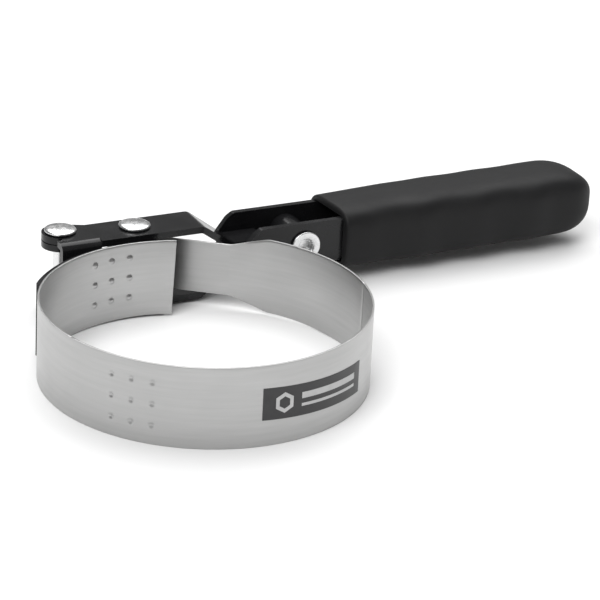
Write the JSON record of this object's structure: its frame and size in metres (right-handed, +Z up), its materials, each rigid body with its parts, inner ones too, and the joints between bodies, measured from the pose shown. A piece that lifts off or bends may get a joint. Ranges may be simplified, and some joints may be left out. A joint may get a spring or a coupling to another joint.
{
  "type": "oil filter wrench",
  "caption": "Band oil filter wrench: a steel strap ring closed by a riveted black yoke, with a swivel handle in a ribbed soft grip.",
  "frame": {"origin": "under the centre of the bounding box, on the surface the wrench lies on", "axes": "+X along the handle from the strap towards the grip's end, +Y from the ring towards the yoke, +Z up along the ring's axis"},
  "size_m": [0.2125, 0.1194, 0.0267],
  "materials": {
    "strap_steel": "brushed",
    "black_paint": "satin",
    "zinc_plate": "bright",
    "grip_rubber": "matte"
  },
  "bodies": {
    "band": {"strap_left": "strap_steel", "shoe": "black_paint"},
    "jaw": {"strap_right": "strap_steel"},
    "tongue": {"strap_tongue": "strap_steel"},
    "yoke": {"yoke": "black_paint", "pivot_rivet": "zinc_plate", "anchor_rivet": "zinc_plate"},
    "handle": {"handle_channel": "black_paint", "grip": "grip_rubber", "swivel_rivet": "zinc_plate"}
  },
  "joints": [
    {"name": "yoke_pivot", "type": "hinge", "parent": "band", "child": "yoke", "pos_m": [-0.07885, 0.04965, 0.013], "axis": [0, 0, 1], "range_deg": [-3, 15]},
    {"name": "handle_swivel", "type": "hinge", "parent": "yoke", "child": "handle", "pos_m": [-0.00075, 0.04725, 0.0138], "axis": [0, -1, 0], "range_deg": [-90, 90]},
    {"name": "jaw_close", "type": "hinge", "parent": "band", "child": "jaw", "pos_m": [-0.07931, -0.05413, 0.0125], "axis": [0, 0, 1], "range_deg": [-0.7, 2.2]},
    {"name": "tongue_swing", "type": "hinge", "parent": "jaw", "child": "tongue", "pos_m": [-0.02123, 0.02245, 0.0125], "axis": [0, 0, 1], "range_deg": [-9.6, 2.1]}
  ],
  "couplings": [
    {"joint": "jaw_close", "follows": "yoke_pivot", "ratio": 0.1308},
    {"joint": "tongue_swing", "follows": "yoke_pivot", "ratio": -0.5947}
  ]
}
